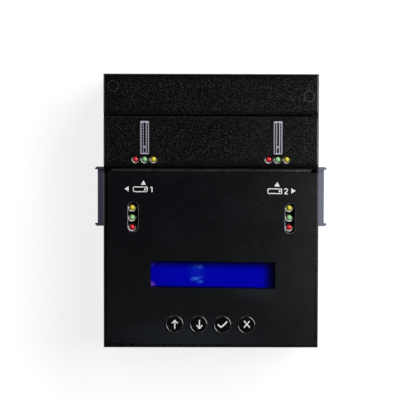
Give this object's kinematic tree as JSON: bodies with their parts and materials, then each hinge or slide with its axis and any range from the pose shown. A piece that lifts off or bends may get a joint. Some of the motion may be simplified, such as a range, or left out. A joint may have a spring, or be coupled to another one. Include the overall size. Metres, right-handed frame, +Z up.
{
  "type": "portable drive eraser",
  "caption": "Flat black folded-sheet box that wipes storage drives, with side drive sockets, upright card sockets, status lamps, a blue display and round buttons.",
  "frame": {"origin": "bottom centre of the bounding box, on the surface that the feet stand on", "axes": "+X to the right as the user faces the display, +Y to the back, +Z up"},
  "size_m": [0.1598, 0.185, 0.0409],
  "materials": {
    "coat_black": "fine textured black powder coat",
    "film_black": "satin black printed film",
    "foot_rubber": "moulded rubber",
    "zinc_steel": "zinc plated",
    "screw_black": "black oxide",
    "board_green": "green solder mask",
    "chip_black": "moulded black",
    "sink_aluminium": "extruded",
    "drive_slate": "moulded slate grey",
    "contact_gold": "gold flash",
    "card_grey": "moulded pale grey",
    "lens_red": "tinted diffused lens",
    "lens_green": "tinted diffused lens",
    "lens_yellow": "tinted diffused lens",
    "collar_white": "natural nylon",
    "diffuser_white": "diffusing",
    "display_blue": "blue liquid crystal behind glass",
    "frame_black": "black lacquer",
    "gasket_foam": "closed-cell foam",
    "switch_black": "moulded black",
    "key_black": "polished black",
    "plunger_grey": "moulded grey",
    "pin_chrome": "nickel plated",
    "lead_red": "soft insulation",
    "sleeve_blue": "plain can",
    "core_grey": "moulded ferrite",
    "cable_white": "flat flexible cable"
  },
  "bodies": {
    "chassis": {"base_tray": "coat_black", "front_cover": "coat_black", "slot_cover": "coat_black", "rear_cover": "coat_black", "panel_overlay": "film_black", "rubber_feet": "foot_rubber", "cover_screws": "screw_black", "clinch_standoffs": "zinc_steel", "main_board": "board_green", "main_board_standoffs": "zinc_steel", "board_screws": "zinc_steel", "controller_chip": "chip_black", "heat_sink": "sink_aluminium", "bridge_chips": "chip_black", "buzzer": "chip_black", "left_drive_socket": "drive_slate", "right_drive_socket": "drive_slate", "drive_contacts": "contact_gold", "slot_board": "board_green", "hung_standoffs": "zinc_steel", "left_card_socket": "card_grey", "right_card_socket": "card_grey", "card_contacts": "contact_gold", "red_leds": "lens_red", "green_leds": "lens_green", "yellow_leds": "lens_yellow", "led_collars": "collar_white", "side_led_boards": "board_green", "display_board": "board_green", "display_backlight": "diffuser_white", "display_glass": "display_blue", "display_frame": "frame_black", "display_gasket": "gasket_foam", "display_standoffs": "zinc_steel", "button_board": "board_green", "button_switches": "switch_black", "power_board": "board_green", "dc_jack": "switch_black", "dc_jack_pin": "pin_chrome", "switch_housing": "switch_black", "switch_terminals": "zinc_steel", "switch_leads": "lead_red", "power_capacitors": "sleeve_blue", "power_inductor": "core_grey", "cable_sockets": "switch_black", "display_cable": "cable_white", "button_cable": "cable_white", "slot_cables": "cable_white", "side_led_cables": "cable_white", "power_cable": "cable_white"},
    "up_key": {"up_button": "key_black", "up_plunger": "plunger_grey"},
    "down_key": {"down_button": "key_black", "down_plunger": "plunger_grey"},
    "confirm_key": {"confirm_button": "key_black", "confirm_plunger": "plunger_grey"},
    "cancel_key": {"cancel_button": "key_black", "cancel_plunger": "plunger_grey"},
    "rocker": {"power_rocker": "key_black"}
  },
  "joints": [
    {"name": "up_press", "type": "slide", "parent": "chassis", "child": "up_key", "axis": [0, 0, -1], "range_m": [0, 0.00035], "stiffness_N_per_m": 4000},
    {"name": "down_press", "type": "slide", "parent": "chassis", "child": "down_key", "axis": [0, 0, -1], "range_m": [0, 0.00035], "stiffness_N_per_m": 4000},
    {"name": "confirm_press", "type": "slide", "parent": "chassis", "child": "confirm_key", "axis": [0, 0, -1], "range_m": [0, 0.00035], "stiffness_N_per_m": 4000},
    {"name": "cancel_press", "type": "slide", "parent": "chassis", "child": "cancel_key", "axis": [0, 0, -1], "range_m": [0, 0.00035], "stiffness_N_per_m": 4000},
    {"name": "power_tilt", "type": "hinge", "parent": "chassis", "child": "rocker", "pos_m": [0.04, 0.08713, 0.0164], "axis": [0, 0, -1], "range_deg": [0, 20]}
  ]
}
